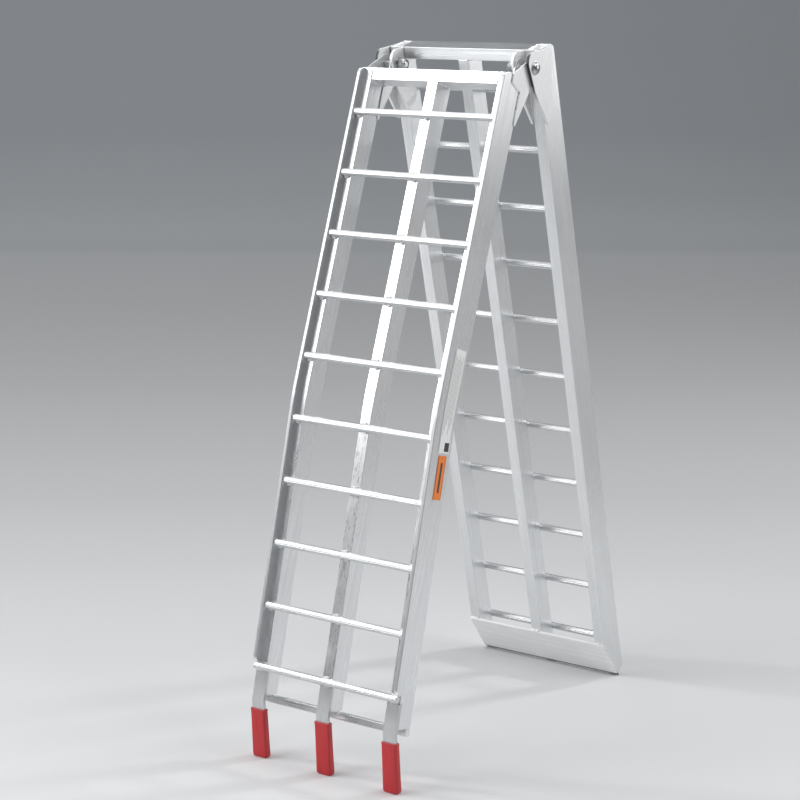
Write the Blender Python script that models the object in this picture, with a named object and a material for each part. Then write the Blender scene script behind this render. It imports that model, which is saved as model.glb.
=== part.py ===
"""Folding loading ramp: two three-rail aluminium halves joined by a double-plate hinge on each side.

X runs along the rungs, Y from the front half (-Y) to the back half (+Y), Z up; the floor is Z = 0.
Each half has its own side-view coordinates (s, n): s runs down the riding face from the hinged end,
n points out of the riding face, away from the other half.
"""
import bmesh
import bpy
from math import acos, atan2, cos, hypot, pi, radians, sin, tan
from mathutils import Matrix, Vector

# Overall sizes, metres
WIDTH = 0.305            # over the outer faces of the side rails
RAIL_W = 0.021           # rail tube, across the ramp
RAIL_D = 0.041           # rail tube, riding face to underside
RAIL_WALL = 0.0025
LIP_H = 0.015            # raised edge above the riding face
LIP_T = 0.0065
GAP = 0.0003             # clearance left between neighbouring pieces

# Hinge line and stance
AXIS_Y = 0.0205
AXIS_Z = 1.1765
SETBACK = 0.0259         # hinge line to the end planes of the two halves
DROP = 0.0617            # hinge line below the riding faces
FRONT_LEAN = radians(19.62)
FRONT_LEAN_LOW = radians(14.40)
BACK_LEAN = radians(13.57)
BEND_S = 0.584           # middle of the bend of the front rails
BEND_LENGTH = 0.045

# Lengths along the halves
FRONT_END = 1.1095
BACK_END = 1.2508
FOOT_ANGLE = radians(24.4)
FRONT_LIP_END = 1.052
BACK_LIP_END = 1.2398
LIP_START = 0.002
LIP_ROUND = 0.011
CROSS_W = 0.0214         # crossbars at the hinged ends

# Rungs
RUNG_R = 0.00635
RUNG_PITCH = 0.10887
FRONT_RUNG_1 = 0.0816
FRONT_RUNGS = 10
FRONT_RUNG_LAST = 1.0590  # set a little above the even spacing, clear of the fingers
BACK_RUNG_1 = 0.0853
BACK_RUNGS = 11

# Tailgate fingers and their sleeves
BAR_W = 0.0254
BAR_T = 0.00635
BAR_PROUD = 0.0010       # bar stands this far out of the riding face
BAR_START = 1.0665
BAR_BEND = 1.1190
BAR_TIP_Z = 0.0060
FINGER_TILT = radians(3.6)  # past upright, foot towards the back half
SLEEVE_W = 0.0298
SLEEVE_WALL = 0.0022     # at the mouth
SLEEVE_FOOT_WALL = 0.0038
SLEEVE_TOP = 0.0895
CENTRE_SLEEVE_TOP = 0.0950

# Foot plate and lower crossbar
FOOT_T = 0.0045
FOOT_SHORT = 0.0095      # full thickness stops this far short of the rail tips
TONGUE_T = 0.0010        # thinned lower edge of the plate
TONGUE_SHORT = 0.0020
LOWER_BAR = 0.012

# Hinge hardware
FRONT_PLATE_T = 0.0020
BACK_PLATE_T = 0.0050
BOSS_R = 0.017
BACK_CORNER_R = 0.018
HOLE_R = 0.0063
SHANK_R = 0.0060
HEAD_R = 0.0110
HEAD_H = 0.0056
WASHER_R = 0.0120
WASHER_T = 0.0020
NUT_R = 0.0108
NUT_T = 0.0100
LABEL_T = 0.0003

OUT_X = WIDTH / 2
IN_X = OUT_X - RAIL_W
SIDE_X = OUT_X - RAIL_W / 2
LOW_TURN = FRONT_LEAN_LOW - FRONT_LEAN


def clear_scene():
    for item in list(bpy.data.objects):
        bpy.data.objects.remove(item, do_unlink=True)


def new_collection(name):
    group = bpy.data.collections.new(name)
    bpy.context.scene.collection.children.link(group)
    return group


def new_material(name, colour, roughness, metallic):
    mat = bpy.data.materials.new(name)
    mat.use_nodes = True
    shader = mat.node_tree.nodes["Principled BSDF"]
    shader.inputs["Base Color"].default_value = (*colour, 1.0)
    shader.inputs["Roughness"].default_value = roughness
    shader.inputs["Metallic"].default_value = metallic
    mat.diffuse_color = (*colour, 1.0)
    return mat


clear_scene()
RAMP = new_collection("folding_loading_ramp")
CUTTERS = new_collection("cutters")

ALU_RAIL = new_material("rail_aluminium", (0.80, 0.81, 0.82), 0.34, 1.0)
ALU_RUNG = new_material("rung_aluminium", (0.86, 0.87, 0.88), 0.30, 1.0)
ALU_PLATE = new_material("plate_aluminium", (0.83, 0.84, 0.85), 0.38, 1.0)
STEEL = new_material("zinc_plated_steel", (0.62, 0.63, 0.64), 0.28, 1.0)
RED = new_material("red_vinyl", (0.62, 0.03, 0.04), 0.42, 0.0)
WHITE = new_material("white_label", (0.86, 0.87, 0.87), 0.50, 0.0)
ORANGE = new_material("orange_label", (0.88, 0.28, 0.06), 0.50, 0.0)


# Side-view coordinates of the two halves
def front_yz(s, n):
    lean = FRONT_LEAN
    y = AXIS_Y - SETBACK * sin(lean) - DROP * cos(lean)
    z = AXIS_Z - SETBACK * cos(lean) + DROP * sin(lean)
    start = BEND_S - BEND_LENGTH / 2
    straight = min(s, start)
    y -= straight * sin(lean)
    z -= straight * cos(lean)
    if s > start:
        rate = LOW_TURN / BEND_LENGTH
        lean = FRONT_LEAN + rate * min(s - start, BEND_LENGTH)
        y += (cos(lean) - cos(FRONT_LEAN)) / rate
        z -= (sin(lean) - sin(FRONT_LEAN)) / rate
        rest = max(0.0, s - start - BEND_LENGTH)
        y -= rest * sin(lean)
        z -= rest * cos(lean)
    return Vector((y - n * cos(lean), z + n * sin(lean)))


def back_yz(s, n):
    lean = BACK_LEAN
    along = s - SETBACK + GAP
    y = AXIS_Y + along * sin(lean) + (n + DROP) * cos(lean)
    z = AXIS_Z - along * cos(lean) + (n + DROP) * sin(lean)
    return Vector((y, z))


def front_bend_stations():
    start = BEND_S - BEND_LENGTH / 2
    return [start + BEND_LENGTH * k / 4 for k in range(5)]


# Solid builders
def link_mesh(name, bm, material, origin, group=RAMP, smooth=False):
    """Mesh built in world coordinates, stored about its own origin."""
    bmesh.ops.recalc_face_normals(bm, faces=bm.faces)
    bmesh.ops.translate(bm, verts=bm.verts, vec=-Vector(origin))
    mesh = bpy.data.meshes.new(name)
    bm.to_mesh(mesh)
    bm.free()
    for face in mesh.polygons:
        face.use_smooth = smooth
    item = bpy.data.objects.new(name, mesh)
    item.location = origin
    if material is not None:
        mesh.materials.append(material)
    group.objects.link(item)
    return item


def slab(name, outline, x0, x1, material=None, group=RAMP):
    """Side-view outline of (y, z) points, run straight across the ramp from x0 to x1."""
    bm = bmesh.new()
    near = [bm.verts.new((x0, p[0], p[1])) for p in outline]
    far = [bm.verts.new((x1, p[0], p[1])) for p in outline]
    bm.faces.new(near)
    bm.faces.new(list(reversed(far)))
    count = len(outline)
    for k in range(count):
        after = (k + 1) % count
        bm.faces.new((near[k], far[k], far[after], near[after]))
    return link_mesh(name, bm, material, (0.0, AXIS_Y, AXIS_Z), group)


def cutter(name, outline, x0, x1):
    item = slab(name, outline, x0, x1, None, CUTTERS)
    item.hide_render = True
    item.display_type = "WIRE"
    return item


def combine(item, tool, operation):
    mod = item.modifiers.new(tool.name, "BOOLEAN")
    mod.operation = operation
    mod.solver = "EXACT"
    mod.object = tool


def lathe(name, profile, x0, centre, material, steps=32):
    """Round piece about a line along X: profile of (distance along X, radius) points."""
    bm = bmesh.new()
    rings = []
    for along, radius in profile:
        if radius < 1e-6:
            rings.append([bm.verts.new((x0 + along, centre.x, centre.y))])
            continue
        ring = []
        for k in range(steps):
            turn = 2 * pi * k / steps
            y = centre.x + radius * cos(turn)
            z = centre.y + radius * sin(turn)
            ring.append(bm.verts.new((x0 + along, y, z)))
        rings.append(ring)
    for first, second in zip(rings, rings[1:]):
        for k in range(steps):
            after = (k + 1) % steps
            if len(first) == 1:
                bm.faces.new((first[0], second[k], second[after]))
            elif len(second) == 1:
                bm.faces.new((first[k], second[0], first[after]))
            else:
                bm.faces.new((first[k], second[k], second[after], first[after]))
    for ring in (rings[0], rings[-1]):
        if len(ring) > 1:
            bm.faces.new(ring)
    middle = x0 + sum(along for along, _ in profile) / len(profile)
    item = link_mesh(name, bm, material, (middle, centre.x, centre.y), RAMP, True)
    return item


def arc_points(centre, radius, start, stop, count):
    points = []
    for k in range(count + 1):
        turn = start + (stop - start) * k / count
        points.append((centre[0] + radius * cos(turn), centre[1] + radius * sin(turn)))
    return points


def tangent_turn(point, centre, radius, side):
    """Angle round a circle where the tangent from a point touches it."""
    dx = point[0] - centre[0]
    dy = point[1] - centre[1]
    return atan2(dy, dx) + side * acos(radius / hypot(dx, dy))


# Rails
def strip_outline(place, top, bottom, s0, s1, stations):
    """Closed band between two heights that follows the bend of a half."""
    inner = [s for s in stations if s0 < s < s1]
    line = [s0] + inner + [s1]
    upper = [place(s, top) for s in line]
    lower = [place(s, bottom) for s in reversed(line)]
    return upper + lower


def lip_outline(place, s0, s1, stations):
    """Raised edge with rounded outer corners; its root runs into the tube."""
    root = -0.001
    inner = [s for s in stations if s0 < s < s1]
    upper = arc_points((s0 + LIP_ROUND, LIP_H - LIP_ROUND), LIP_ROUND, pi, pi / 2, 5)
    upper += [(s, LIP_H) for s in inner]
    upper += arc_points((s1 - LIP_ROUND, LIP_H - LIP_ROUND), LIP_ROUND, pi / 2, 0.0, 5)
    lower = [(s1, root)] + [(s, root) for s in reversed(inner)] + [(s0, root)]
    return [place(s, n) for s, n in upper + lower]


def front_rail_outline(start):
    stations = front_bend_stations()
    seat = BAR_PROUD - BAR_T - GAP
    notch = BAR_START - GAP
    riding = [(start, 0.0)] + [(s, 0.0) for s in stations]
    riding += [(notch, 0.0), (notch, seat), (FRONT_END, seat)]
    under = [(FRONT_END, -RAIL_D)] + [(s, -RAIL_D) for s in reversed(stations)] + [(start, -RAIL_D)]
    return [front_yz(s, n) for s, n in riding + under]


def back_rail_outline(start):
    heel = BACK_END - RAIL_D / tan(FOOT_ANGLE)
    return [back_yz(s, n) for s, n in ((start, 0.0), (BACK_END, 0.0), (heel, -RAIL_D), (start, -RAIL_D))]


def back_cavity_outline():
    top = -RAIL_WALL
    bottom = RAIL_WALL - RAIL_D
    end = BACK_END - 0.012
    upper_end = end + top / tan(FOOT_ANGLE)
    lower_end = end + bottom / tan(FOOT_ANGLE)
    return [back_yz(s, n) for s, n in ((-0.01, top), (upper_end, top), (lower_end, bottom), (-0.01, bottom))]


def make_rails():
    stations = front_bend_stations()
    front_hole = strip_outline(front_yz, -RAIL_WALL, RAIL_WALL - RAIL_D, -0.01, 1.060, stations)
    back_hole = back_cavity_outline()
    butt = CROSS_W + GAP
    halves = (
        ("front", front_rail_outline, front_hole, front_yz, FRONT_LIP_END, stations),
        ("back", back_rail_outline, back_hole, back_yz, BACK_LIP_END, []),
    )
    for half, outline, hole, place, lip_end, bends in halves:
        lip = lip_outline(place, LIP_START, lip_end, bends)
        for side, sign in (("left", -1.0), ("right", 1.0)):
            low, high = sorted((sign * IN_X, sign * OUT_X))
            rail = slab(f"{half}_{side}_rail", outline(0.0), low, high, ALU_RAIL)
            edges = sorted((sign * (OUT_X - LIP_T), sign * OUT_X))
            combine(rail, cutter(f"{half}_{side}_lip", lip, *edges), "UNION")
            bore = cutter(f"{half}_{side}_bore", hole, low + RAIL_WALL, high - RAIL_WALL)
            combine(rail, bore, "DIFFERENCE")
        rail = slab(f"{half}_centre_rail", outline(butt), -RAIL_W / 2, RAIL_W / 2, ALU_RAIL)
        bore = cutter(f"{half}_centre_bore", hole, RAIL_WALL - RAIL_W / 2, RAIL_W / 2 - RAIL_WALL)
        combine(rail, bore, "DIFFERENCE")


# Crossbars, rungs
def make_crossbars():
    reach = IN_X - GAP
    for half, place in (("front", front_yz), ("back", back_yz)):
        body = strip_outline(place, 0.0, -RAIL_D, 0.0, CROSS_W, [])
        bar = slab(f"{half}_crossbar", body, -reach, reach, ALU_RAIL)
        hollow = strip_outline(place, -RAIL_WALL, RAIL_WALL - RAIL_D, RAIL_WALL, CROSS_W - RAIL_WALL, [])
        combine(bar, cutter(f"{half}_crossbar_bore", hollow, -reach - 0.01, reach + 0.01), "DIFFERENCE")
    low = FRONT_END + GAP
    body = strip_outline(front_yz, LOWER_BAR - RAIL_D, -RAIL_D, low, low + LOWER_BAR, [])
    slab("lower_crossbar", body, -OUT_X, OUT_X, ALU_RAIL)


def make_rungs():
    reach = OUT_X - LIP_T - GAP
    height = RUNG_R + GAP
    for half, place, first, count in (
        ("front", front_yz, FRONT_RUNG_1, FRONT_RUNGS),
        ("back", back_yz, BACK_RUNG_1, BACK_RUNGS),
    ):
        for k in range(count):
            last = half == "front" and k == count - 1
            centre = place(FRONT_RUNG_LAST if last else first + k * RUNG_PITCH, height)
            half_length = OUT_X - 0.001 if last else reach
            edge = 0.0008
            profile = (
                (0.0, RUNG_R - edge),
                (edge, RUNG_R),
                (2 * half_length - edge, RUNG_R),
                (2 * half_length, RUNG_R - edge),
            )
            lathe(f"{half}_rung_{k + 1:02d}", profile, -half_length, centre, ALU_RUNG, 24)


# Fingers and sleeves at the tailgate end
def make_fingers():
    knee = front_yz(BAR_BEND, BAR_PROUD)
    half_turn = (FRONT_LEAN_LOW + FINGER_TILT) / 2
    inner_knee = front_yz(BAR_BEND - BAR_T * tan(half_turn), BAR_PROUD - BAR_T)

    def on_finger(z, behind):
        """Point of the lower leg at height z, this far behind its front face."""
        return Vector((knee.x + (knee.y - z) * tan(FINGER_TILT) + behind / cos(FINGER_TILT), z))

    outline = [
        front_yz(BAR_START, BAR_PROUD),
        knee,
        on_finger(BAR_TIP_Z, 0.0),
        on_finger(BAR_TIP_Z, BAR_T),
        inner_knee,
        front_yz(BAR_START, BAR_PROUD - BAR_T),
    ]
    round_r = 0.0045
    front_foot = on_finger(0.0, -SLEEVE_FOOT_WALL).x + round_r
    rear_foot = on_finger(0.0, BAR_T + SLEEVE_FOOT_WALL).x - round_r
    foot = [Vector(p) for p in arc_points((front_foot, round_r), round_r, pi, 1.5 * pi, 4)]
    foot += [Vector(p) for p in arc_points((rear_foot, round_r), round_r, 1.5 * pi, 2 * pi, 4)]
    pocket = [
        on_finger(CENTRE_SLEEVE_TOP + 0.01, -GAP),
        on_finger(BAR_TIP_Z - GAP, -GAP),
        on_finger(BAR_TIP_Z - GAP, BAR_T + GAP),
        on_finger(CENTRE_SLEEVE_TOP + 0.01, BAR_T + GAP),
    ]
    edge_x = OUT_X - BAR_W / 2
    for side, x in (("left", -edge_x), ("centre", 0.0), ("right", edge_x)):
        top = CENTRE_SLEEVE_TOP if side == "centre" else SLEEVE_TOP
        shell = [on_finger(top, -SLEEVE_WALL), *foot, on_finger(top, BAR_T + SLEEVE_WALL)]
        slab(f"{side}_finger", outline, x - BAR_W / 2, x + BAR_W / 2, ALU_PLATE)
        sleeve = slab(f"{side}_sleeve", shell, x - SLEEVE_W / 2, x + SLEEVE_W / 2, RED)
        reach = BAR_W / 2 + GAP
        combine(sleeve, cutter(f"{side}_pocket", pocket, x - reach, x + reach), "DIFFERENCE")


def make_foot_plate():
    along = Vector((cos(FOOT_ANGLE), sin(FOOT_ANGLE)))
    out = Vector((sin(FOOT_ANGLE), -cos(FOOT_ANGLE)))
    tip = Vector((BACK_END, 0.0))
    length = RAIL_D / sin(FOOT_ANGLE)
    full = [(TONGUE_SHORT, GAP), (length, GAP), (length, GAP + FOOT_T), (FOOT_SHORT, GAP + FOOT_T)]
    thin = [(FOOT_SHORT, GAP + TONGUE_T), (TONGUE_SHORT, GAP + TONGUE_T)]
    corners = []
    for run, rise in full + thin:
        spot = tip - along * run + out * rise
        corners.append(back_yz(spot.x, spot.y))
    slab("foot_plate", corners, -OUT_X, OUT_X, ALU_PLATE)


# Hinge
def front_plate_outline(inside):
    axis = (-SETBACK, -DROP)
    lap = [(0.0233, -0.0372), (0.0803, -0.0385), (0.0823, -0.0422)]
    if inside:
        lap = [(0.0, -0.0425), (0.0222, -0.0425)] + lap
    else:
        lap = [(-0.0007, -0.0087), (0.0143, -0.0102)] + lap
    first = tangent_turn(lap[-1], axis, BOSS_R, -1) + 2 * pi
    last = tangent_turn(lap[0], axis, BOSS_R, 1)
    return [front_yz(s, n) for s, n in lap + arc_points(axis, BOSS_R, first, last, 12)]


def back_plate_outline(inside):
    corner = (BACK_CORNER_R - 0.0025, BACK_CORNER_R - 0.0806)
    lap = [(0.0668, -0.0702), (0.1321, -0.0399), (0.1296, -0.0374), (0.1006, -0.0244)]
    if inside:
        lap += [(0.0222, -0.0080), (0.0222, -0.0425), (0.0005, -0.0425)]
    else:
        lap += [(0.0110, -0.0045), (0.0060, -0.0048), (0.0030, -0.0080)]
    heel = arc_points(corner, BACK_CORNER_R, pi, 1.54 * pi, 9)
    return [back_yz(s, n) for s, n in lap + heel]


def packer_outline():
    corners = ((0.060, -0.0405), (0.060, -0.0190), (0.098, -0.0260), (0.124, -0.0405))
    return [back_yz(s, n) for s, n in corners]


def make_hinge():
    axis = Vector((AXIS_Y, AXIS_Z))
    layers = (
        ("outer", OUT_X + GAP, 1.0),
        ("inner", IN_X - GAP, -1.0),
    )
    for side, sign in (("left", -1.0), ("right", 1.0)):
        for layer, face, away in layers:
            inside = layer == "inner"
            near = sorted((sign * face, sign * (face + away * FRONT_PLATE_T)))
            plate = slab(f"front_{side}_{layer}_plate", front_plate_outline(inside), *near, ALU_PLATE)
            spread = face + away * (FRONT_PLATE_T + GAP)
            far = sorted((sign * spread, sign * (spread + away * BACK_PLATE_T)))
            cover = slab(f"back_{side}_{layer}_plate", back_plate_outline(inside), *far, ALU_PLATE)
            pack = sorted((sign * face, sign * (spread + away * 0.001)))
            combine(cover, cutter(f"{side}_{layer}_packer", packer_outline(), *pack), "UNION")
            reach = 0.03
            middle = sign * face
            for item in (plate, cover):
                ring = arc_points((axis.x, axis.y), HOLE_R, 0.0, 2 * pi, 32)[:-1]
                hole = cutter(f"{item.name}_hole", ring, middle - reach, middle + reach)
                combine(item, hole, "DIFFERENCE")
        stack = FRONT_PLATE_T + BACK_PLATE_T + 3 * GAP
        outer = OUT_X + stack
        inner = IN_X - stack
        tail = inner - WASHER_T - NUT_T - 0.004
        profile = [(tail, 0.0), (tail, SHANK_R - 0.001), (tail + 0.001, SHANK_R), (outer, SHANK_R)]
        profile += [(outer, HEAD_R)]
        for k in range(5):
            turn = pi / 2 * k / 4
            profile.append((outer + 0.0012 + (HEAD_H - 0.0012) * sin(turn), HEAD_R * cos(turn)))
        if sign < 0:
            profile = [(-along, radius) for along, radius in profile]
        lathe(f"{side}_hinge_bolt", profile, 0.0, axis, STEEL)
        washer = (inner - WASHER_T, inner - GAP)
        nut = (inner - WASHER_T - GAP - NUT_T, inner - WASHER_T - GAP)
        for label, spans, radius, steps in (("washer", washer, WASHER_R, 32), ("nut", nut, NUT_R, 6)):
            a, b = sorted((sign * spans[0], sign * spans[1]))
            rim = arc_points((axis.x, axis.y), radius, 0.0, 2 * pi, steps)[:-1]
            item = slab(f"{side}_hinge_{label}", rim, a, b, STEEL)
            ring = arc_points((axis.x, axis.y), HOLE_R, 0.0, 2 * pi, 32)[:-1]
            combine(item, cutter(f"{item.name}_hole", ring, a - 0.01, b + 0.01), "DIFFERENCE")


def make_labels():
    stations = front_bend_stations()
    x0 = OUT_X + GAP
    white = strip_outline(front_yz, -0.0035, -0.0345, 0.472, 0.648, stations)
    slab("white_label", white, x0, x0 + LABEL_T, WHITE)
    orange = strip_outline(front_yz, -0.0070, -0.0300, 0.652, 0.726, stations)
    slab("orange_label", orange, x0, x0 + LABEL_T, ORANGE)


make_rails()
make_crossbars()
make_rungs()
make_fingers()
make_foot_plate()
make_hinge()
make_labels()
bpy.context.view_layer.update()
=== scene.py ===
"""Looks of the folding loading ramp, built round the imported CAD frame.

The tubes, plates, bars and label films are the CAD nodes with rounded edges and a new finish. The ribbed
rungs, dipped sleeves, hinge hardware, weld beads, rail end plates and label print are pieces made here. Each
half has side-view coordinates (s, n): s runs down the riding face from the hinged end, n points out of it.
"""
import random
from math import cos, pi, radians, sin, tan

import bmesh
import bpy
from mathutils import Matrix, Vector


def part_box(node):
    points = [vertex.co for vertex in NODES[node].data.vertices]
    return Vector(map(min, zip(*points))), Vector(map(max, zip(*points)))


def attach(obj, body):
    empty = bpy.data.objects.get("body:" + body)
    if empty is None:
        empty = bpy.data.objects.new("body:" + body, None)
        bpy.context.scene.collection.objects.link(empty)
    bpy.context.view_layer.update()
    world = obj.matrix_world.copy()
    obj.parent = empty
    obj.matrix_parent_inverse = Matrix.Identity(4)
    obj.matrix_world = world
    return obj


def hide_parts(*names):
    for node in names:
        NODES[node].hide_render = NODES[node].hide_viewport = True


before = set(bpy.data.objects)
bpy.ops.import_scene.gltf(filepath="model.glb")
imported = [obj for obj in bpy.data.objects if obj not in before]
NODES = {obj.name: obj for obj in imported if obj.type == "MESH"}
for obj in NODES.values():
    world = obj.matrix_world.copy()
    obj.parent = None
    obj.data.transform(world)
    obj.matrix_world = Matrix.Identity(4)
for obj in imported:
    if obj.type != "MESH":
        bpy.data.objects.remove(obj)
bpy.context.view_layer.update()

# Sizes of the CAD model, metres
OUT_X = 0.1525
RAIL_W = 0.021
IN_X = OUT_X - RAIL_W
RAIL_D = 0.041
RAIL_WALL = 0.0025
AXIS_Y = 0.0205
AXIS_Z = 1.1765
SETBACK = 0.0259
DROP = 0.0617
FRONT_LEAN = radians(19.62)
FRONT_LEAN_LOW = radians(14.40)
BACK_LEAN = radians(13.57)
BEND_S = 0.584
BEND_LENGTH = 0.045
CROSS_W = 0.0214
FRONT_END = 1.1095
BACK_END = 1.2508
FOOT_ANGLE = radians(24.4)
FOOT_SHORT = 0.0095
BAR_START = 1.0665
BAR_W = 0.0254
BAR_T = 0.00635
FINGER_TILT = radians(3.6)
RUNG_R = 0.00635
GAP = 0.0003
SHANK_R = 0.0060
HEAD_H = 0.0056
NUT_R = 0.0108
WASHER_R = 0.0120

# Detail sizes, metres, and counts
RUNG_RIBS = 12
POINTS_PER_RIB = 6
RIB_DEPTH = 0.00045
RUNG_CHAMFER = 0.0008
EDGE_ROUND = 0.0007
THIN_EDGE_ROUND = 0.0005
FILM_EDGE_ROUND = 0.00008
BEAD_PITCH = 0.0022
RINGS_PER_RIPPLE = 4
BEAD_SIDES = 8
THREAD_PITCH = 0.00125
THREAD_LENGTH = 0.0155
TIP_R = 0.00002
LATHE_STEPS = 56
NUT_STEPS = 60
NUT_BORE_R = 0.0062
SLEEVE_CORNER = 0.0030
SLEEVE_WALL = 0.0031
LABEL_LIFT = 0.00006
LABEL_BASE = 0.00001
PRINT_STEP = 0.006

rng = random.Random(7)


# Side-view coordinates of the two halves
def front_yz(s, n):
    lean = FRONT_LEAN
    y = AXIS_Y - SETBACK * sin(lean) - DROP * cos(lean)
    z = AXIS_Z - SETBACK * cos(lean) + DROP * sin(lean)
    start = BEND_S - BEND_LENGTH / 2
    straight = min(s, start)
    y -= straight * sin(lean)
    z -= straight * cos(lean)
    if s > start:
        rate = (FRONT_LEAN_LOW - FRONT_LEAN) / BEND_LENGTH
        lean = FRONT_LEAN + rate * min(s - start, BEND_LENGTH)
        y += (cos(lean) - cos(FRONT_LEAN)) / rate
        z -= (sin(lean) - sin(FRONT_LEAN)) / rate
        rest = max(0.0, s - start - BEND_LENGTH)
        y -= rest * sin(lean)
        z -= rest * cos(lean)
    return Vector((y - n * cos(lean), z + n * sin(lean)))


def back_yz(s, n):
    along = s - SETBACK + GAP
    y = AXIS_Y + along * sin(BACK_LEAN) + (n + DROP) * cos(BACK_LEAN)
    z = AXIS_Z - along * cos(BACK_LEAN) + (n + DROP) * sin(BACK_LEAN)
    return Vector((y, z))


def on_front(x, s, n):
    spot = front_yz(s, n)
    return Vector((x, spot.x, spot.y))


def on_back(x, s, n):
    spot = back_yz(s, n)
    return Vector((x, spot.x, spot.y))


# Node materials
class Nodes:
    """Short calls for building one material's node tree."""

    def __init__(self, name):
        self.material = bpy.data.materials.new(name)
        self.material.use_nodes = True
        self.tree = self.material.node_tree
        self.shader = self.tree.nodes["Principled BSDF"]

    def add(self, kind, **settings):
        node = self.tree.nodes.new(kind)
        for key, value in settings.items():
            setattr(node, key, value)
        return node

    def link(self, source, target):
        self.tree.links.new(source, target)

    def coordinates(self, turn, scale):
        """Object coordinates, turned about X and then stretched."""
        place = self.add("ShaderNodeTexCoord")
        turned = self.add("ShaderNodeMapping")
        turned.inputs["Rotation"].default_value = (turn, 0.0, 0.0)
        self.link(place.outputs["Object"], turned.inputs["Vector"])
        stretched = self.add("ShaderNodeMapping")
        stretched.inputs["Scale"].default_value = scale
        self.link(turned.outputs["Vector"], stretched.inputs["Vector"])
        return stretched.outputs["Vector"]

    def noise(self, vector, detail=3.0, roughness=0.5):
        node = self.add("ShaderNodeTexNoise")
        node.inputs["Scale"].default_value = 1.0
        node.inputs["Detail"].default_value = detail
        node.inputs["Roughness"].default_value = roughness
        self.link(vector, node.inputs["Vector"])
        return node.outputs["Fac"]

    def spread(self, value, low, high, to_low, to_high):
        node = self.add("ShaderNodeMapRange")
        for key, number in (
            ("From Min", low), ("From Max", high), ("To Min", to_low), ("To Max", to_high),
        ):
            node.inputs[key].default_value = number
        self.link(value, node.inputs["Value"])
        return node.outputs["Result"]

    def combine(self, operation, first, second):
        node = self.add("ShaderNodeMath", operation=operation)
        for slot, item in zip(node.inputs, (first, second)):
            if isinstance(item, float):
                slot.default_value = item
            else:
                self.link(item, slot)
        return node.outputs["Value"]

    def blend(self, fac, first, second):
        node = self.add("ShaderNodeMix", data_type="RGBA")
        self.link(fac, node.inputs["Factor"])
        colours = [slot for slot in node.inputs if slot.type == "RGBA"]
        for slot, item in zip(colours, (first, second)):
            if isinstance(item, tuple):
                slot.default_value = (*item, 1.0)
            else:
                self.link(item, slot)
        return [slot for slot in node.outputs if slot.type == "RGBA"][0]

    def bump(self, height, strength, distance):
        node = self.add("ShaderNodeBump")
        node.inputs["Strength"].default_value = strength
        node.inputs["Distance"].default_value = distance
        self.link(height, node.inputs["Height"])
        self.link(node.outputs["Normal"], self.shader.inputs["Normal"])


def grained_metal(name, colour, roughness, turn, lengthwise, relief=0.22, painted_shade_mask=None, metallic=1.0):
    """Extruded or rolled metal: die lines along one axis, cloudy oxide, scattered handling scuffs.

    painted_shade_mask gives a 0 to 1 mask of painted shade and its colour; the masked places are also made
    rougher.
    """
    mat = Nodes(name)
    fine = (6.0, 1300.0, 1300.0) if lengthwise == "x" else (1300.0, 1300.0, 6.0)
    broad = (1.6, 300.0, 300.0) if lengthwise == "x" else (300.0, 300.0, 1.6)
    lines = mat.noise(mat.coordinates(turn, fine), 2.0)
    bands = mat.noise(mat.coordinates(turn, broad), 3.0, 0.6)
    clouds = mat.noise(mat.coordinates(turn, (24.0, 24.0, 24.0)), 4.0, 0.6)
    scuffs = mat.noise(mat.coordinates(turn + 0.6, (60.0, 420.0, 60.0)), 5.0, 0.7)
    grain = mat.combine("ADD", mat.spread(lines, 0.3, 0.7, 0.0, 0.5), mat.spread(bands, 0.3, 0.7, 0.0, 0.5))
    dull = tuple(part * 0.82 for part in colour)
    tone = mat.blend(grain, dull, colour)
    oxide = tuple(part * 0.80 for part in colour)
    rubbed = tuple(part * 0.72 for part in colour)
    cloudy = mat.blend(mat.spread(clouds, 0.35, 0.75, 0.0, 0.35), tone, oxide)
    scuffs_and_painted_shade = mat.blend(mat.spread(scuffs, 0.66, 0.74, 0.0, 0.22), cloudy, rubbed)
    grain_rough = mat.spread(grain, 0.0, 1.0, 0.12, -0.07)
    rough = mat.combine("ADD", grain_rough, mat.spread(clouds, 0.3, 0.7, -0.015, 0.03))
    # Painted shade from the mask, blended over the grain, oxide and scuffs.
    if painted_shade_mask is not None:
        mask, shade = painted_shade_mask(mat)
        scuffs_and_painted_shade = mat.blend(mask, scuffs_and_painted_shade, shade)
        rough = mat.combine("ADD", rough, mat.combine("MULTIPLY", mask, 0.14))
    mat.link(scuffs_and_painted_shade, mat.shader.inputs["Base Color"])
    mat.link(mat.combine("ADD", rough, roughness), mat.shader.inputs["Roughness"])
    mat.shader.inputs["Metallic"].default_value = metallic
    mat.bump(mat.combine("ADD", lines, mat.combine("MULTIPLY", bands, 0.7)), relief, 0.0002)
    return mat.material


def height_above(mat, spot, lean, side):
    """Distance out of a riding face that passes through a side-view point."""
    place = mat.add("ShaderNodeTexCoord")
    dot = mat.add("ShaderNodeVectorMath", operation="DOT_PRODUCT")
    mat.link(place.outputs["Object"], dot.inputs[0])
    normal = (0.0, side * cos(lean), sin(lean))
    dot.inputs[1].default_value = normal
    return mat.combine("SUBTRACT", dot.outputs["Value"], normal[1] * spot.x + normal[2] * spot.y)


def lip_crest_painted_shade(mat):
    """Mask and colour of painted shade on the crest of the front half's raised edges, on both sides of the
    bend.
    """
    upper = height_above(mat, front_yz(0.0, 0.0), FRONT_LEAN, -1.0)
    lower = height_above(mat, front_yz(FRONT_END, 0.0), FRONT_LEAN_LOW, -1.0)
    crest = mat.combine("MAXIMUM", upper, lower)
    return mat.spread(crest, 0.0135, 0.0148, 0.0, 1.0), (0.46, 0.47, 0.48)


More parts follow.
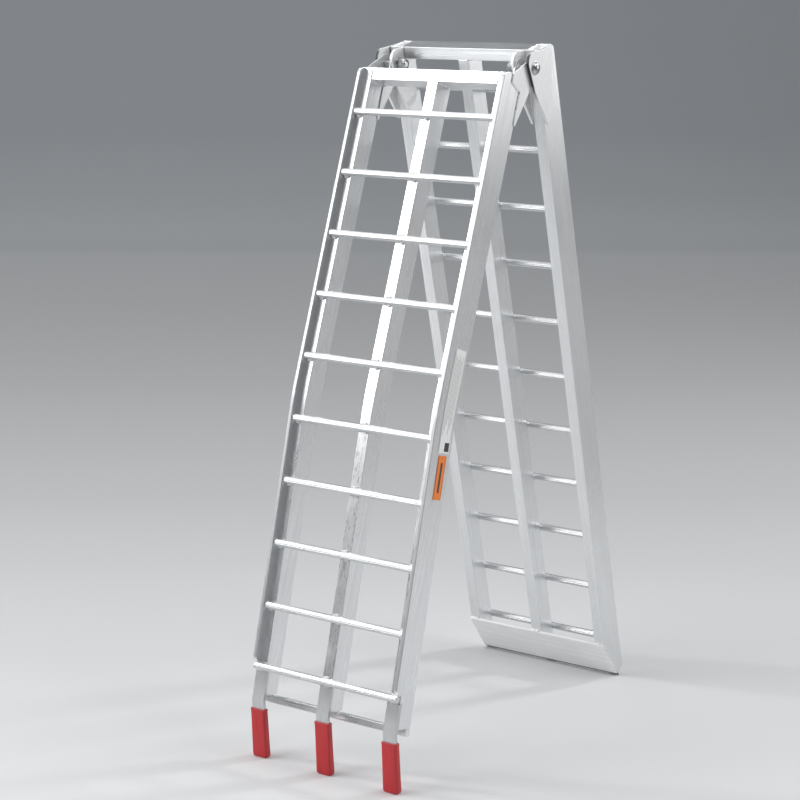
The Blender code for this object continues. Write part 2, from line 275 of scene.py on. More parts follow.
def ground_edge_painted_shade(mat):
    """Painted shade, near black, on the thinned edge that rests on the ground, darker towards the ground."""
    place = mat.add("ShaderNodeTexCoord")
    parts = mat.add("ShaderNodeSeparateXYZ")
    mat.link(place.outputs["Object"], parts.inputs["Vector"])
    return mat.spread(parts.outputs["Z"], 0.0068, 0.0050, 0.0, 1.0), (0.05, 0.05, 0.05)


def pivot_gap_painted_shadow(mat):
    """Painted shadow on the edges that face the pivot's gap, fading out away from the hinge line."""
    place = mat.add("ShaderNodeTexCoord")
    centre = mat.add("ShaderNodeVectorMath", operation="SUBTRACT")
    mat.link(place.outputs["Object"], centre.inputs[0])
    centre.inputs[1].default_value = (0.0, AXIS_Y, AXIS_Z)
    across = mat.add("ShaderNodeVectorMath", operation="MULTIPLY")
    mat.link(centre.outputs["Vector"], across.inputs[0])
    across.inputs[1].default_value = (0.0, 1.0, 1.0)
    reach = mat.add("ShaderNodeVectorMath", operation="LENGTH")
    mat.link(across.outputs["Vector"], reach.inputs[0])
    facing = mat.add("ShaderNodeSeparateXYZ")
    mat.link(place.outputs["Normal"], facing.inputs["Vector"])
    edge = mat.spread(facing.outputs["Y"], -0.35, -0.75, 0.0, 1.0)
    near = mat.spread(reach.outputs["Value"], 0.030, 0.062, 1.0, 0.0)
    return mat.combine("MULTIPLY", edge, near), (0.10, 0.10, 0.10)


def weld_metal(name):
    """Frosted cast look of a weld bead, with sooty specks in its hollows."""
    mat = Nodes(name)
    crust = mat.noise(mat.coordinates(0.0, (520.0, 520.0, 520.0)), 5.0, 0.65)
    soot = mat.noise(mat.coordinates(0.0, (230.0, 230.0, 230.0)), 3.0, 0.6)
    mat.link(mat.blend(mat.spread(soot, 0.46, 0.62, 0.0, 1.0), (0.93, 0.94, 0.95), (0.68, 0.68, 0.69)),
             mat.shader.inputs["Base Color"])
    mat.link(mat.spread(crust, 0.3, 0.7, 0.42, 0.60), mat.shader.inputs["Roughness"])
    mat.shader.inputs["Metallic"].default_value = 0.75
    mat.bump(crust, 0.5, 0.0004)
    return mat.material


def zinc_plate(name):
    """Bright zinc plating with cloudy passivation and a fine speckle."""
    mat = Nodes(name)
    clouds = mat.noise(mat.coordinates(0.0, (180.0, 180.0, 180.0)), 4.0, 0.6)
    speck = mat.noise(mat.coordinates(0.0, (900.0, 900.0, 900.0)), 2.0)
    mat.link(mat.blend(mat.spread(clouds, 0.35, 0.7, 0.0, 1.0), (0.62, 0.63, 0.64), (0.36, 0.36, 0.36)),
             mat.shader.inputs["Base Color"])
    mat.link(mat.spread(speck, 0.3, 0.7, 0.12, 0.24), mat.shader.inputs["Roughness"])
    mat.shader.inputs["Metallic"].default_value = 1.0
    mat.bump(speck, 0.12, 0.0001)
    return mat.material


def dipped_vinyl(name):
    """Satin vinyl dip: slow sags down the length, fine orange peel, rubbed paler streaks."""
    mat = Nodes(name)
    sags = mat.noise(mat.coordinates(-FINGER_TILT, (95.0, 95.0, 9.0)), 3.0, 0.55)
    peel = mat.noise(mat.coordinates(0.0, (620.0, 620.0, 620.0)), 2.0)
    rubs = mat.noise(mat.coordinates(-FINGER_TILT, (420.0, 420.0, 26.0)), 4.0, 0.7)
    deep = mat.blend(mat.spread(sags, 0.3, 0.7, 0.0, 1.0), (0.45, 0.009, 0.014), (0.56, 0.018, 0.024))
    mat.link(mat.blend(mat.spread(rubs, 0.60, 0.72, 0.0, 0.30), deep, (0.59, 0.06, 0.06)),
             mat.shader.inputs["Base Color"])
    mat.link(mat.spread(rubs, 0.4, 0.75, 0.34, 0.52), mat.shader.inputs["Roughness"])
    mat.shader.inputs["Coat Weight"].default_value = 0.18
    mat.shader.inputs["Coat Roughness"].default_value = 0.28
    height = mat.combine("ADD", mat.combine("MULTIPLY", sags, 1.6), mat.combine("MULTIPLY", peel, 0.35))
    mat.bump(height, 0.30, 0.0006)
    return mat.material


def printed_film(name, colour, worn):
    """Label film: faint curl and dust, rubbed in places."""
    mat = Nodes(name)
    dust = mat.noise(mat.coordinates(0.0, (260.0, 260.0, 260.0)), 4.0, 0.65)
    curl = mat.noise(mat.coordinates(FRONT_LEAN, (60.0, 60.0, 12.0)), 2.0)
    mat.link(mat.blend(mat.spread(dust, 0.45, 0.75, 0.0, 0.6), colour, worn), mat.shader.inputs["Base Color"])
    mat.link(mat.spread(dust, 0.3, 0.7, 0.36, 0.52), mat.shader.inputs["Roughness"])
    mat.bump(curl, 0.25, 0.0006)
    return mat.material


RAIL_TONE = (0.93, 0.94, 0.95)
PLATE_TONE = (0.97, 0.975, 0.98)
# The front rails get painted shade on their lip crests.
FRONT_ALU = grained_metal("front_rail_aluminium", RAIL_TONE, 0.28, FRONT_LEAN, "z", 0.13, lip_crest_painted_shade)
BACK_ALU = grained_metal("back_rail_aluminium", RAIL_TONE, 0.30, -BACK_LEAN, "z", 0.15)
CROSS_ALU = grained_metal("crossbar_aluminium", RAIL_TONE, 0.29, 0.0, "x")
RUNG_ALU = grained_metal("rung_aluminium", (0.76, 0.77, 0.78), 0.24, 0.0, "x", 0.03)
# The foot plate gets painted shade along its thinned, grounded edge.
PLATE_ALU = grained_metal("foot_plate_aluminium", PLATE_TONE, 0.70, 0.0, "x", 0.22, ground_edge_painted_shade, 0.4)
HINGE_ALU = grained_metal("hinge_plate_aluminium", PLATE_TONE, 0.50, 0.5, "z", 0.16)
# The outer back hinge plates get a painted shadow on their edges by the pivot.
PIVOT_ALU = grained_metal("pivot_plate_aluminium", PLATE_TONE, 0.50, 0.5, "z", 0.16, pivot_gap_painted_shadow)
FINGER_ALU = grained_metal("finger_aluminium", (0.70, 0.71, 0.72), 0.34, -FINGER_TILT, "z")
WELD = weld_metal("weld_aluminium")
ZINC = zinc_plate("zinc_plated_steel")
VINYL = dipped_vinyl("red_vinyl")
WHITE_FILM = printed_film("white_label_film", (0.93, 0.93, 0.92), (0.80, 0.80, 0.79))
ORANGE_FILM = printed_film("orange_label_film", (0.95, 0.24, 0.03), (0.86, 0.25, 0.06))
GREY_INK = printed_film("grey_label_ink", (0.30, 0.30, 0.30), (0.50, 0.50, 0.50))
BLACK_INK = printed_film("black_label_ink", (0.035, 0.035, 0.035), (0.12, 0.12, 0.12))


# CAD nodes that stay: rounded edges and a new finish
def make_smooth_group():
    """Modifier group that drops the stored normals and shades smooth."""
    group = bpy.data.node_groups.new("smooth_shading", "GeometryNodeTree")
    group.interface.new_socket("Geometry", in_out="INPUT", socket_type="NodeSocketGeometry")
    group.interface.new_socket("Geometry", in_out="OUTPUT", socket_type="NodeSocketGeometry")
    start = group.nodes.new("NodeGroupInput")
    drop = group.nodes.new("GeometryNodeRemoveAttribute")
    drop.inputs["Name"].default_value = "custom_normal"
    smooth = group.nodes.new("GeometryNodeSetShadeSmooth")
    end = group.nodes.new("NodeGroupOutput")
    group.links.new(start.outputs[0], drop.inputs[0])
    group.links.new(drop.outputs[0], smooth.inputs[0])
    group.links.new(smooth.outputs[0], end.inputs[0])
    return group


SMOOTH = make_smooth_group()


def finish_node(name, material, width=EDGE_ROUND):
    """Keeps a CAD node: joins its facets, rounds its edges and gives it a finish."""
    item = NODES[name]
    for slot in item.material_slots:
        slot.link = "OBJECT"
        slot.material = material
    weld = item.modifiers.new("join", "WELD")
    weld.merge_threshold = 0.00001
    flat = item.modifiers.new("flats", "DECIMATE")
    flat.decimate_type = "DISSOLVE"
    flat.angle_limit = radians(0.5)
    rounded = item.modifiers.new("rounded", "BEVEL")
    rounded.width = width
    rounded.segments = 2
    rounded.limit_method = "ANGLE"
    rounded.angle_limit = radians(40.0)
    shade = item.modifiers.new("smooth", "NODES")
    shade.node_group = SMOOTH
    flats = item.modifiers.new("flat_faces", "WEIGHTED_NORMAL")
    flats.weight = 100


def finish_cad_nodes():
    for side in ("left", "centre", "right"):
        finish_node(f"front_{side}_rail", FRONT_ALU)
        finish_node(f"back_{side}_rail", BACK_ALU)
        finish_node(f"{side}_finger", FINGER_ALU, 0.0006)
    for name in ("front_crossbar", "back_crossbar", "lower_crossbar"):
        finish_node(name, CROSS_ALU)
    finish_node("foot_plate", PLATE_ALU, 0.0009)
    for side in ("left", "right"):
        for layer in ("outer", "inner"):
            finish_node(f"front_{side}_{layer}_plate", HINGE_ALU, THIN_EDGE_ROUND)
        finish_node(f"back_{side}_inner_plate", HINGE_ALU, THIN_EDGE_ROUND)
        finish_node(f"back_{side}_outer_plate", PIVOT_ALU, THIN_EDGE_ROUND)
    finish_node("white_label", WHITE_FILM, FILM_EDGE_ROUND)
    finish_node("orange_label", ORANGE_FILM, FILM_EDGE_ROUND)


# Pieces made here
def place_piece(name, bm, material, body, nodes=(), smooth=True):
    """Turns a bmesh into a piece of one body, standing in for the CAD nodes named."""
    bmesh.ops.remove_doubles(bm, verts=bm.verts, dist=1e-7)
    bmesh.ops.recalc_face_normals(bm, faces=bm.faces)
    mesh = bpy.data.meshes.new(name)
    bm.to_mesh(mesh)
    bm.free()
    for face in mesh.polygons:
        face.use_smooth = smooth
    mesh.materials.append(material)
    item = bpy.data.objects.new(name, mesh)
    bpy.context.scene.collection.objects.link(item)
    if smooth:
        split = item.modifiers.new("creases", "EDGE_SPLIT")
        split.split_angle = radians(38.0)
    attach(item, body)
    if nodes:
        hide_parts(*nodes)


def skin_rings(bm, rings, close=True):
    """Quads between neighbouring rings; flat caps on both ends."""
    for first, second in zip(rings, rings[1:]):
        count = len(first)
        for k in range(count):
            after = (k + 1) % count
            bm.faces.new((first[k], first[after], second[after], second[k]))
    if close:
        bm.faces.new(list(reversed(rings[0])))
        bm.faces.new(rings[-1])


def ring_about_x(bm, x, centre, radii):
    """Ring of points round a line along X, one radius for each point."""
    count = len(radii)
    ring = []
    for k, radius in enumerate(radii):
        turn = 2 * pi * k / count
        ring.append(bm.verts.new((x, centre.x + radius * cos(turn), centre.y + radius * sin(turn))))
    return ring


def make_rung(node, body):
    """Solid bar with fine lengthwise ribs and chamfered ends."""
    low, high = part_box(node)
    centre = Vector(((low.y + high.y) / 2, (low.z + high.z) / 2))
    bm = bmesh.new()
    ribs = []
    for k in range(RUNG_RIBS * POINTS_PER_RIB):
        wave = abs(sin(pi * k / POINTS_PER_RIB))
        ribs.append(RUNG_R - RIB_DEPTH * (1.0 - wave) ** 2)
    core = [RUNG_R - 0.0009] * len(ribs)
    stations = (
        (low.x, core), (low.x + RUNG_CHAMFER, ribs), (high.x - RUNG_CHAMFER, ribs), (high.x, core),
    )
    rings = [ring_about_x(bm, x, centre, radii) for x, radii in stations]
    skin_rings(bm, rings)
    place_piece(f"{node}_ribbed", bm, RUNG_ALU, body, (node,))


def add_bead(bm, path, radius):
    """Rippled weld bead along a line of points."""
    lengths = [0.0]
    for first, second in zip(path, path[1:]):
        lengths.append(lengths[-1] + (second - first).length)
    total = lengths[-1]
    steps = max(5, int(total / BEAD_PITCH * RINGS_PER_RIPPLE))
    rings = []
    for k in range(steps + 1):
        run = total * k / steps
        leg = 0
        while leg < len(path) - 2 and lengths[leg + 1] < run:
            leg += 1
        share = (run - lengths[leg]) / (lengths[leg + 1] - lengths[leg])
        spot = path[leg].lerp(path[leg + 1], share)
        forward = (path[leg + 1] - path[leg]).normalized()
        side = forward.cross(Vector((0.31, 0.52, 0.79))).normalized()
        up = forward.cross(side)
        phase = run / BEAD_PITCH % 1.0
        taper = (1.0 - abs(2.0 * k / steps - 1.0) ** 6) ** 0.5
        size = radius * (0.80 + 0.24 * (1.0 - phase) ** 0.6) * (0.35 + 0.65 * taper)
        size *= rng.uniform(0.93, 1.07)
        ring = []
        for m in range(BEAD_SIDES):
            turn = 2 * pi * m / BEAD_SIDES
            ring.append(bm.verts.new(spot + (side * cos(turn) + up * sin(turn)) * size))
        rings.append(ring)
    skin_rings(bm, rings)


def bead_piece(name, beads, body):
    """Several beads as one piece: beads is a list of (points, radius)."""
    bm = bmesh.new()
    for path, radius in beads:
        add_bead(bm, path, radius)
    place_piece(name, bm, WELD, body)


# Beads at each rung: from x, to x, and 1 below the rung or -1 above it
RUNG_BEADS = (
    (-0.1445, -0.1345, 1), (0.1345, 0.1445, 1), (-0.0052, 0.0052, -1), (0.001, 0.0075, 1),
    (0.1380, 0.1435, -1),
)


def rung_beads(spots, place, bare_last):
    """Fillets where rungs cross the rails; bare_last leaves them off the side rails at the last rung."""
    beads = []
    for s in spots:
        for x0, x1, step in RUNG_BEADS:
            if bare_last and s == spots[-1] and abs(x0) > 0.1:
                continue
            run = s + step * 0.0062
            shift = rng.uniform(-0.0006, 0.0006)
            beads.append(([place(x0 + shift, run, 0.0012), place(x1 + shift, run, 0.0016)], 0.0033))
    return beads


def rung_spots(half):
    """Where a half's rungs sit along it, from the heights of the CAD nodes."""
    names = sorted(name for name in NODES if name.startswith(f"{half}_rung_"))
    place = front_yz if half == "front" else back_yz
    fall = 0.98  # height lost for each metre down the face, near enough for the search to close in
    found = []
    for name in names:
        low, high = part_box(name)
        z = (low.z + high.z) / 2
        s = 0.0
        for _ in range(40):
            s += (place(s, RUNG_R + GAP).y - z) / fall
        found.append(s)
    return names, found


def make_rungs_and_welds():
    for half, place in (("front", on_front), ("back", on_back)):
        names, spots = rung_spots(half)
        for name in names:
            make_rung(name, f"{half}_half")
        bead_piece(f"{half}_rung_welds", rung_beads(spots, place, half == "front"), f"{half}_half")


def frame_beads(place):
    """Beads of a crossbar to the side rails and of the centre rail to the crossbar."""
    low = CROSS_W + 0.0007
    beads = []
    for sign in (-1.0, 1.0):
        x = sign * (IN_X - 0.0004)
        beads.append(([place(x, low, -0.002), place(x, low, -0.038)], 0.0020))
        beads.append(([place(x, 0.001, 0.0002), place(x, low, 0.0002)], 0.0016))
        beads.append(([place(x, 0.001, -RAIL_D), place(x, low, -RAIL_D)], 0.0018))
        beads.append(([place(sign * 0.0112, low, -0.003), place(sign * 0.0112, low, -0.038)], 0.0019))
    beads.append(([place(-0.0095, low, -0.0002), place(0.0095, low, -0.0002)], 0.0009))
    beads.append(([place(-0.0095, low, -RAIL_D), place(0.0095, low, -RAIL_D)], 0.0018))
    return beads


def foot_beads():
    """Beads of the foot plate to the three tubes and along its sides."""
    tip = Vector((BACK_END, 0.0))
    along = Vector((cos(FOOT_ANGLE), sin(FOOT_ANGLE)))
    out = Vector((sin(FOOT_ANGLE), -cos(FOOT_ANGLE)))

    def on_plate(x, run, rise):
        spot = tip - along * run + out * rise
        return on_back(x, spot.x, spot.y)

    length = RAIL_D / sin(FOOT_ANGLE)
    beads = []
    for sign in (-1.0, 1.0):
        x = sign * (OUT_X - 0.0003)
        upper = [on_plate(x, length - 0.003, 0.0003), on_plate(x, length - 0.034, 0.0003)]
        lower = [on_plate(x, FOOT_SHORT + 0.020, 0.0003), on_plate(x, FOOT_SHORT + 0.001, 0.0003)]
        middle = sign * (OUT_X - RAIL_W / 2)
        top = [on_plate(middle - 0.009, length, 0.0014), on_plate(middle + 0.009, length, 0.0014)]
        beads += [(upper, 0.0017), (lower, 0.0016), (top, 0.0022)]
    beads.append(([on_plate(-0.0095, length, 0.0014), on_plate(0.0095, length, 0.0014)], 0.0024))
    for sign in (-1.0, 1.0):
        x = sign * (RAIL_W / 2 + 0.0008)
        beads.append(([on_plate(x, length - 0.002, -0.0008), on_plate(x, length - 0.020, -0.0008)], 0.0017))
    return beads


def hinge_beads(place, edges, base):
    """Beads along plate edges that lie on the outer faces of the side rails."""
    beads = []
    for sign in (-1.0, 1.0):
        for edge in edges:
            beads.append(([place(sign * base, s, n) for s, n in edge], 0.0015))
    return beads


def finger_beads():
    """Beads of the fingers and the lower crossbar to the front rails."""
    beads = []
    side_x = OUT_X - BAR_W / 2
    for x in (-side_x, 0.0, side_x):
        top = BAR_START - 0.0006
        beads.append(([on_front(x - 0.0085, top, 0.0006), on_front(x + 0.0085, top, 0.0006)], 0.0021))
    low = FRONT_END + 0.0002
    for x in (-IN_X + 0.0006, IN_X - 0.0006, -RAIL_W / 2 - 0.0008, RAIL_W / 2 + 0.0008):
        beads.append(([on_front(x, low, -0.0305), on_front(x, low, -0.0395)], 0.0021))
    for x in (-OUT_X + 0.003, OUT_X - RAIL_W + 0.003):
        beads.append(([on_front(x, low, -0.0288), on_front(x + 0.015, low, -0.0288)], 0.0016))
    beads.append(([on_front(0.0085, low + 0.001, -0.0285), on_front(0.0135, low + 0.003, -0.0290)], 0.0028))
    return beads


def make_frame_welds():
    bead_piece("front_crossbar_welds", frame_beads(on_front), "front_half")
    bead_piece("back_crossbar_welds", frame_beads(on_back), "back_half")
    bead_piece("foot_plate_welds", foot_beads(), "back_half")
    bead_piece("finger_welds", finger_beads(), "front_half")
    front_edge = ((0.0005, -0.0088), (0.0150, -0.0104), (0.0190, -0.0225), (0.0240, -0.0368))
    front_edges = (front_edge, ((0.0270, -0.0374), (0.0550, -0.0379), (0.0790, -0.0385)))
    back_edge = ((0.0120, -0.0047), (0.0560, -0.0146), (0.0990, -0.0240))
    back_edges = (back_edge, ((0.1020, -0.0252), (0.1160, -0.0318), (0.1290, -0.0374)))
    bead_piece("front_hinge_welds", hinge_beads(on_front, front_edges, OUT_X + 0.0006), "front_half")
    bead_piece("back_hinge_welds", hinge_beads(on_back, back_edges, OUT_X + 0.0010), "back_half")


def make_end_caps():
    """Plates welded into the open ends of the side rails at the hinge, each with a bead round it."""
    for half, place in (("front", on_front), ("back", on_back)):
        beads = []
        for side, sign in (("left", -1.0), ("right", 1.0)):
            bm = bmesh.new()
            rings = []
            for s, inset in ((0.0045, 0.0), (0.0024, 0.0), (0.0018, 0.0006)):
                edges = (IN_X + RAIL_WALL + inset, OUT_X - RAIL_WALL - inset)
                faces = (-RAIL_WALL - inset, RAIL_WALL - RAIL_D + inset)
                corners = (
                    (edges[0], faces[0]), (edges[1], faces[0]), (edges[1], faces[1]), (edges[0], faces[1]),
                )
                rings.append([bm.verts.new(place(sign * x, s, n)) for x, n in corners])
            mouth = [vert.co.copy() for vert in rings[1]]
            beads.append((mouth + mouth[:1], 0.0013))
            skin_rings(bm, rings)
            place_piece(f"{half}_{side}_end_cap", bm, HINGE_ALU, f"{half}_half")
        bead_piece(f"{half}_end_cap_welds", beads, f"{half}_half")


def lathe_piece(name, profile, sign, node):
    """Round zinc piece about the hinge line: profile of (distance from the middle, radius)."""
    axis = Vector((AXIS_Y, AXIS_Z))
    bm = bmesh.new()
    rings = []
    for along, radius in profile:
        rings.append(ring_about_x(bm, sign * along, axis, [max(radius, TIP_R)] * LATHE_STEPS))
    skin_rings(bm, rings)
    place_piece(name, bm, ZINC, "back_half", (node,))


def bolt_profile(low, high):
    """Threaded tail, plain shank and a domed flanged head."""
    profile = [(low, 0.0), (low, SHANK_R - 0.0014), (low + 0.0010, SHANK_R - 0.0003)]
    run = low + 0.0010
    while run < low + THREAD_LENGTH:
        profile += [(run + THREAD_PITCH * 0.5, SHANK_R - 0.0007), (run + THREAD_PITCH, SHANK_R - 0.0001)]
        run += THREAD_PITCH
    seat = high - HEAD_H
    profile += [(seat, SHANK_R - 0.0001), (seat, 0.0106), (seat + 0.0004, 0.0110), (seat + 0.0011, 0.0110)]
    profile += [(seat + 0.0014, 0.0104)]
    for k in range(1, 9):
        turn = pi / 2 * k / 8
        profile.append((seat + 0.0014 + (HEAD_H - 0.0014) * sin(turn), 0.0100 * cos(turn)))
    return profile


def make_nut(name, sign, near, far, node):
    """Hexagon nut with chamfered corners and a round lock collar."""
    axis = Vector((AXIS_Y, AXIS_Z))
    flat = NUT_R * cos(pi / 6)
    hexagon = []
    for k in range(NUT_STEPS):
        turn = (2 * pi * k / NUT_STEPS) % (pi / 3) - pi / 6
        hexagon.append(min(flat / cos(turn), NUT_R - 0.0001))
    trimmed = [min(radius, flat * 1.03) for radius in hexagon]
    collar = far - 0.0026
    layout = (
        (near, [NUT_BORE_R] * NUT_STEPS), (near, trimmed), (near - 0.0008, hexagon),
        (collar + 0.0008, hexagon), (collar, trimmed), (collar, [flat * 0.93] * NUT_STEPS),
        (far + 0.0006, [flat * 0.91] * NUT_STEPS), (far, [flat * 0.84] * NUT_STEPS),
        (far, [NUT_BORE_R] * NUT_STEPS),
    )
    bm = bmesh.new()
    rings = []
    for along, radii in layout:
        rings.append(ring_about_x(bm, sign * along, axis, radii))
    skin_rings(bm, rings, False)
    skin_rings(bm, [rings[-1], rings[0]], False)
    place_piece(name, bm, ZINC, "back_half", (node,))


def washer_profile(low, high):
    """Flat ring with its outer corners broken."""
    bore = 0.0063
    corner = 0.0003
    return [
        (low, bore), (low, WASHER_R - corner), (low + corner, WASHER_R), (high - corner, WASHER_R),
        (high, WASHER_R - corner), (high, bore),
    ]


def along_hinge(node):
    """How far from the middle of the ramp a node begins and ends."""
    low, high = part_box(node)
    return sorted((abs(low.x), abs(high.x)))


def make_hardware():
    for side, sign in (("left", -1.0), ("right", 1.0)):
        bolt, washer, nut = (f"{side}_hinge_{kind}" for kind in ("bolt", "washer", "nut"))
        lathe_piece(f"{side}_bolt_domed", bolt_profile(*along_hinge(bolt)), sign, bolt)
        lathe_piece(f"{side}_washer_round", washer_profile(*along_hinge(washer)), sign, washer)
        far, near = along_hinge(nut)
        make_nut(f"{side}_nut_hex", sign, near, far, nut)


def rounded_box_ring(bm, centre_x, half_w, half_t, corner, tilt_point):
    """Ring of a rounded rectangle across a finger; tilt_point maps (across, behind) to a point."""
    middle = BAR_T / 2
    ring = []
    for quarter, (sx, sy) in enumerate(((1, 1), (-1, 1), (-1, -1), (1, -1))):
        for k in range(7):
            turn = pi / 2 * (quarter + k / 6)
            x = sx * (half_w - corner) + corner * cos(turn)
            t = sy * (half_t - corner) + corner * sin(turn)
            ring.append(bm.verts.new(tilt_point(centre_x + x, middle + t)))
    return ring


def make_sleeve(side, centre_x):
    """Vinyl dip over a finger: rounded foot, slightly swollen body, thick lip at its open mouth."""
    low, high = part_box(f"{side}_sleeve")
    half_w = (high.x - low.x) / 2
    top = high.z

    def front_face(z):
        """Front of the finger at height z."""
        return low.y + 0.0022 / cos(FINGER_TILT) + (top - z) * tan(FINGER_TILT)

    bm = bmesh.new()
    rings = []
    # Height, swell of the width, wall over the finger
    levels = (
        (0.0000, -0.0034, 0.0014), (0.0006, -0.0018, 0.0027), (0.0018, -0.0006, 0.0036),
        (0.0038, 0.0001, 0.0040), (0.0080, 0.0003, 0.0041), (0.0300, 0.0002, 0.0037),
        (0.0600, 0.0001, 0.0034), (top - 0.0060, 0.0001, SLEEVE_WALL),
        (top - 0.0022, 0.0004, SLEEVE_WALL + 0.0003), (top - 0.0006, 0.0003, SLEEVE_WALL + 0.0002),
        (top, -0.0004, SLEEVE_WALL - 0.0004),
    )
    for z, swell, wall in levels:
        half_t = BAR_T / 2 + wall
        rings.append(rounded_box_ring(
            bm, centre_x, half_w + swell, half_t, min(SLEEVE_CORNER, half_t - 0.0002),
            lambda x, t, z=z: (x, front_face(z) + t, z),
        ))
    for z, wall in ((top - 0.0003, 0.0006), (top - 0.0030, GAP), (0.0065, GAP)):
        rings.append(rounded_box_ring(
            bm, centre_x, BAR_W / 2 + wall, BAR_T / 2 + wall, 0.0010,
            lambda x, t, z=z: (x, front_face(z) + t, z),
        ))
    skin_rings(bm, rings)
    place_piece(f"{side}_sleeve_dipped", bm, VINYL, "front_half", (f"{side}_sleeve",))


def make_sleeves():
    edge_x = OUT_X - BAR_W / 2
    for side, x in (("left", -edge_x), ("centre", 0.0), ("right", edge_x)):
        make_sleeve(side, x)


# Label print: plain rules, bars and blocks only
def add_print(bm, s0, s1, n0, n1):
    """Thin raised band on the outer faces of the labels, following the bend of their rail."""
    _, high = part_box("white_label")
    base = high.x
    count = max(1, int((s1 - s0) / PRINT_STEP))
    rows = []
    for k in range(count + 1):
        s = s0 + (s1 - s0) * k / count
        corners = ((LABEL_BASE, n0), (LABEL_LIFT, n0), (LABEL_LIFT, n1), (LABEL_BASE, n1))
        rows.append([bm.verts.new((base + up, *front_yz(s, n))) for up, n in corners])
    skin_rings(bm, rows)


def make_label_print():
    bm = bmesh.new()
    for k in range(7):
        n = -0.0075 - 0.0034 * k
        start = 0.482 + 0.004 * (k % 3)
        add_print(bm, start, 0.618 - 0.009 * (k * 5 % 4), n - 0.0009, n)
    for n in (-0.0048, -0.0334):
        add_print(bm, 0.4745, 0.6455, n - 0.0004, n)
    place_piece("white_label_rules", bm, GREY_INK, "front_half", smooth=False)
    bm = bmesh.new()
    add_print(bm, 0.6300, 0.6450, -0.0320, -0.0190)
    place_piece("white_label_block", bm, BLACK_INK, "front_half", smooth=False)
    bm = bmesh.new()
    for n in (-0.0080, -0.0286):
        add_print(bm, 0.6545, 0.7235, n - 0.0006, n)
    add_print(bm, 0.6640, 0.7140, -0.0212, -0.0158)
    place_piece("orange_label_rules", bm, BLACK_INK, "front_half", smooth=False)


# Floor, lights, camera
DEPTH_TURN = 0.62195  # turn of the sweep and of the camera about the vertical
CURVE_START = 6.6
CURVE_R = 1.8
WALL_TOP = 9.0
SWEEP_SIDE = 70.0
SWEEP_NEAR = -90.0
# Painted light and shade along the paper, against the run over floor, curve and wall (depth plus twice the
# height): it darkens behind the ramp, rises to a painted bright band where the floor meets the curve and
# darkens again up the wall
SWEEP_RUN = (-2.0, 13.0)
SWEEP_PAINTED_TONES = (
    (-0.4, 0.730), (-0.1, 0.710), (0.2, 0.670), (0.6, 0.635), (1.0, 0.590), (1.6, 0.560), (2.3, 0.575),
    (3.2, 0.610), (4.4, 0.711), (5.3, 0.796), (6.3, 0.889), (7.0, 0.801), (7.8, 0.658), (8.8, 0.564),
    (10.0, 0.542), (12.0, 0.534),
)


def make_sweep():
    """Pale floor that curves up into a backdrop, with painted light and shade graded along it."""
    profile = [(depth, 0.0) for depth in (SWEEP_NEAR, -3.0, 0.0, 2.0, 4.3, CURVE_START)]
    for k in range(1, 17):
        turn = pi / 2 * k / 16
        profile.append((CURVE_START + CURVE_R * sin(turn), CURVE_R * (1 - cos(turn))))
    profile.append((CURVE_START + CURVE_R, WALL_TOP))
    bm = bmesh.new()
    left = [bm.verts.new((-SWEEP_SIDE, depth, height)) for depth, height in profile]
    right = [bm.verts.new((SWEEP_SIDE, depth, height)) for depth, height in profile]
    for k in range(len(profile) - 1):
        bm.faces.new((left[k], right[k], right[k + 1], left[k + 1]))
    mesh = bpy.data.meshes.new("sweep")
    bm.to_mesh(mesh)
    bm.free()
    for face in mesh.polygons:
        face.use_smooth = True
    mat = Nodes("sweep_paper")
    place = mat.add("ShaderNodeTexCoord")
    parts = mat.add("ShaderNodeSeparateXYZ")
    mat.link(place.outputs["Object"], parts.inputs["Vector"])
    run = mat.combine("ADD", parts.outputs["Y"], mat.combine("MULTIPLY", parts.outputs["Z"], 2.0))
    # The paper's colour is painted light and shade, graded along the run.
    ramp = mat.add("ShaderNodeValToRGB")
    mat.link(mat.spread(run, SWEEP_RUN[0], SWEEP_RUN[1], 0.0, 1.0), ramp.inputs["Fac"])
    stops = ramp.color_ramp.elements
    while len(stops) < len(SWEEP_PAINTED_TONES):
        stops.new(0.5)
    for stop, (run_at, tone) in zip(stops, SWEEP_PAINTED_TONES):
        stop.position = (run_at - SWEEP_RUN[0]) / (SWEEP_RUN[1] - SWEEP_RUN[0])
        tint = 0.010 + 0.036 * max(0.0, min(1.0, (run_at - 6.5) / 2.0))
        stop.color = (tone * (1.0 - tint), tone, tone * (1.0 + tint), 1.0)
    mat.link(ramp.outputs["Color"], mat.shader.inputs["Base Color"])
    mat.shader.inputs["Roughness"].default_value = 0.75
    mat.shader.inputs["Specular IOR Level"].default_value = 0.2
    mesh.materials.append(mat.material)
    item = bpy.data.objects.new("sweep", mesh)
    item.rotation_euler = (0.0, 0.0, DEPTH_TURN)
    bpy.context.scene.collection.objects.link(item)


# Name, place, point aimed at, width, height, watts
LIGHTS = (
    ("front_left_softbox", (-2.0, -2.6, 2.4), (0.0, 0.0, 0.75), 2.4, 1.7, 66.0),
    ("back_right_key", (1.9, 3.0, 2.9), (0.0, 0.0, 0.6), 0.5, 0.5, 45.0),
    ("right_back_panel", (2.8, 3.6, 1.7), (0.0, 0.0, 0.8), 2.6, 1.9, 21.0),
    ("left_low", (-7.0, -2.8, 1.8), (0.0, 0.0, 0.3), 0.5, 0.5, 210.0),
    ("top_softbox", (-0.7, 0.0, 3.4), (0.0, 0.0, 0.0), 2.8, 2.8, 38.0),
    ("right_fill", (3.6, 0.6, 4.2), (0.6, 0.0, 0.0), 3.0, 3.0, 70.0),
)
WORLD_COLOUR = (0.50, 0.515, 0.53, 1.0)
WORLD_STRENGTH = 0.40

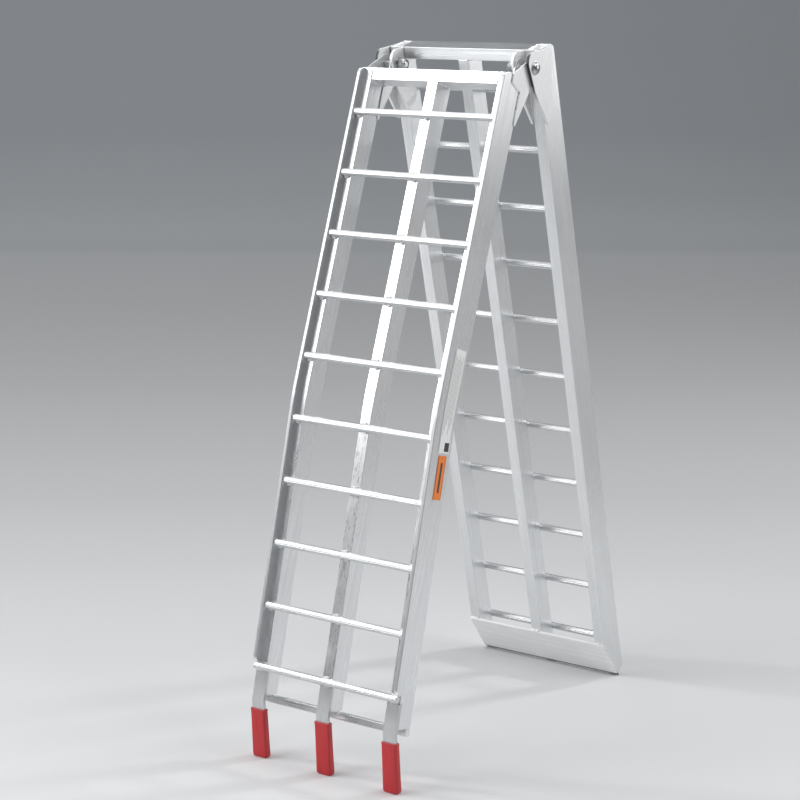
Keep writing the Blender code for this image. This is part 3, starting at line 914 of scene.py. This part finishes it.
# Name, middle of the foot, turn about the vertical, half width, height, two tones of the felt
CARDS = (
    ("dark_card", (-1.50, -2.35, 0.0), -0.64, 1.9, 1.30, (0.06, 0.11)),
    ("grey_card", (0.95, 1.35, 0.02), -0.571, 0.6, 0.66, (0.44, 0.52)),
)


def add_light(name, spot, target, width, height, power):
    data = bpy.data.lights.new(name, "AREA")
    data.shape = "RECTANGLE"
    data.size = width
    data.size_y = height
    data.energy = power
    item = bpy.data.objects.new(name, data)
    item.location = spot
    item.rotation_euler = (Vector(target) - Vector(spot)).to_track_quat("-Z", "Y").to_euler()
    item.visible_camera = False
    bpy.context.scene.collection.objects.link(item)


def make_lights():
    for light in LIGHTS:
        add_light(*light)
    world = bpy.data.worlds.new("studio")
    world.use_nodes = True
    shade = world.node_tree.nodes["Background"]
    shade.inputs["Color"].default_value = WORLD_COLOUR
    shade.inputs["Strength"].default_value = WORLD_STRENGTH
    bpy.context.scene.world = world


def make_card(name, middle, turn, half_width, height, shades):
    """Upright card beside the ramp, seen only in reflections, that darkens the faces turned to it."""
    mesh = bpy.data.meshes.new(name)
    half = Vector((half_width * cos(turn), half_width * sin(turn), 0.0))
    foot = Vector(middle)
    rise = Vector((0.0, 0.0, height))
    corners = [foot - half, foot + half, foot + half + rise, foot - half + rise]
    mesh.from_pydata(corners, [], [(0, 1, 2, 3)])
    mat = Nodes(f"{name}_felt")
    nap = mat.noise(mat.coordinates(0.0, (90.0, 90.0, 90.0)))
    mat.link(mat.blend(nap, *[(shade, shade, shade) for shade in shades]), mat.shader.inputs["Base Color"])
    mat.shader.inputs["Roughness"].default_value = 0.9
    mesh.materials.append(mat.material)
    item = bpy.data.objects.new(name, mesh)
    item.visible_camera = False
    item.visible_shadow = False
    item.visible_diffuse = False
    bpy.context.scene.collection.objects.link(item)


def make_camera():
    data = bpy.data.cameras.new("camera")
    data.lens = 93.17
    data.sensor_width = 36.0
    data.clip_end = 100.0
    item = bpy.data.objects.new("camera", data)
    item.location = (2.03791, -2.99245, 1.33228)
    item.rotation_euler = (pi / 2 - 0.20283, 0.0, DEPTH_TURN)
    bpy.context.scene.collection.objects.link(item)
    bpy.context.scene.camera = item


finish_cad_nodes()
make_rungs_and_welds()
make_frame_welds()
make_end_caps()
make_hardware()
make_sleeves()
make_label_print()
make_sweep()
make_lights()
for card in CARDS:
    make_card(*card)
make_camera()
bpy.context.scene.view_settings.view_transform = "Standard"
